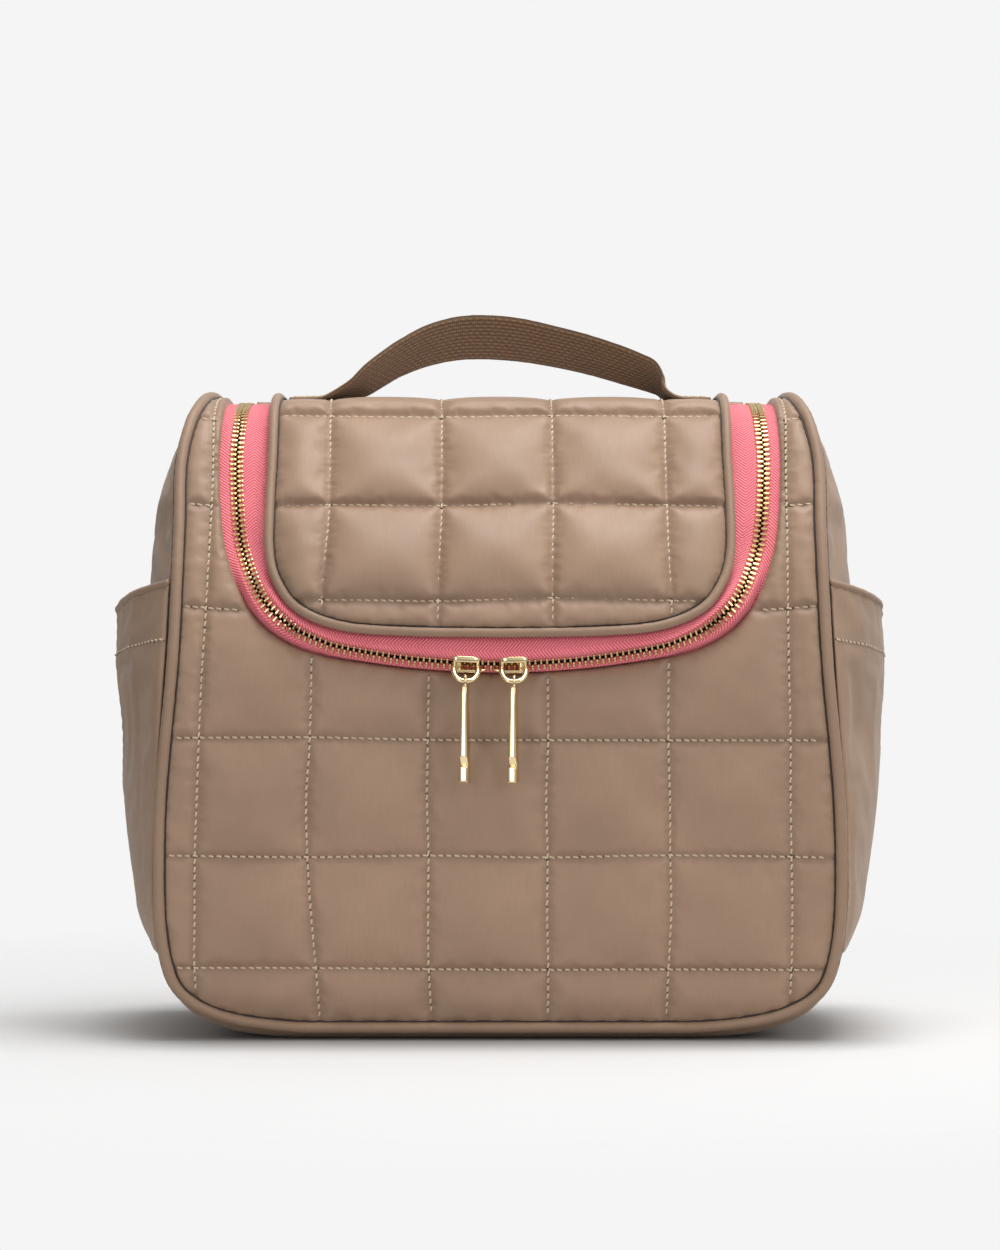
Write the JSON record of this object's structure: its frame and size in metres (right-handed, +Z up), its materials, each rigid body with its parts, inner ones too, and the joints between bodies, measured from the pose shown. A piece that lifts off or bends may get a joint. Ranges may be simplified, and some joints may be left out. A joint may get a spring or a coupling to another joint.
{
  "type": "makeup bag",
  "caption": "Soft makeup bag with a quilted fabric body, a zip-round lid, open side pockets, corded seams, metal sliders with pull tabs and a webbing handle.",
  "frame": {"origin": "middle of the flat underside, on the floor", "axes": "+Z up, -Y out of the lid's front where the zip sliders hang, +X to the right as seen from the front"},
  "size_m": [0.3052, 0.1449, 0.2858],
  "materials": {
    "taupe_fabric": "satin quilted",
    "taupe_piping": "satin",
    "lining_cloth": "matte",
    "coral_tape": "matte woven",
    "brown_webbing": "matte woven",
    "gold_metal": "polished",
    "stiff_board": "matte"
  },
  "bodies": {
    "bag": {"front_panel": "taupe_fabric", "back_panel": "taupe_fabric", "left_side_panel": "taupe_fabric", "right_side_panel": "taupe_fabric", "base_panel": "taupe_fabric", "base_board": "stiff_board", "left_pocket": "taupe_fabric", "right_pocket": "taupe_fabric", "front_piping": "taupe_piping", "back_piping": "taupe_piping", "body_zip_tape": "coral_tape", "body_zip_teeth": "gold_metal", "rear_binding": "taupe_piping", "front_lining": "lining_cloth", "back_lining": "lining_cloth", "left_lining": "lining_cloth", "right_lining": "lining_cloth", "base_lining": "lining_cloth"},
    "lid": {"lid_panel": "taupe_fabric", "lid_lining": "lining_cloth", "lid_piping": "taupe_piping", "lid_zip_tape": "coral_tape", "lid_zip_teeth": "gold_metal", "left_handle_foot": "brown_webbing", "right_handle_foot": "brown_webbing"},
    "handle": {"handle_webbing": "brown_webbing"},
    "left_slider": {"left_slider": "gold_metal"},
    "right_slider": {"right_slider": "gold_metal"},
    "left_pull": {"left_pull": "gold_metal"},
    "right_pull": {"right_pull": "gold_metal"}
  },
  "joints": [
    {"name": "lid_hinge", "type": "hinge", "parent": "bag", "child": "lid", "pos_m": [0, 0.048, 0.246], "axis": [-1, 0, 0], "range_deg": [0, 105]},
    {"name": "handle_tilt", "type": "hinge", "parent": "lid", "child": "handle", "pos_m": [0, 0.022, 0.2559], "axis": [1, 0, 0], "range_deg": [-15, 95]},
    {"name": "left_slider_travel", "type": "hinge", "parent": "bag", "child": "left_slider", "pos_m": [0, -0.0675, 0.448], "axis": [0, 1, 0], "range_deg": [0, 10]},
    {"name": "right_slider_travel", "type": "hinge", "parent": "bag", "child": "right_slider", "pos_m": [0, -0.0675, 0.448], "axis": [0, 1, 0], "range_deg": [-11.5, 0]},
    {"name": "left_pull_swing", "type": "hinge", "parent": "left_slider", "child": "left_pull", "pos_m": [-0.01348, -0.0749, 0.14202], "axis": [-1, 0, 0], "range_deg": [-5, 110]},
    {"name": "right_pull_swing", "type": "hinge", "parent": "right_slider", "child": "right_pull", "pos_m": [0.00551, -0.0749, 0.14177], "axis": [-1, 0, 0], "range_deg": [-5, 110]}
  ]
}
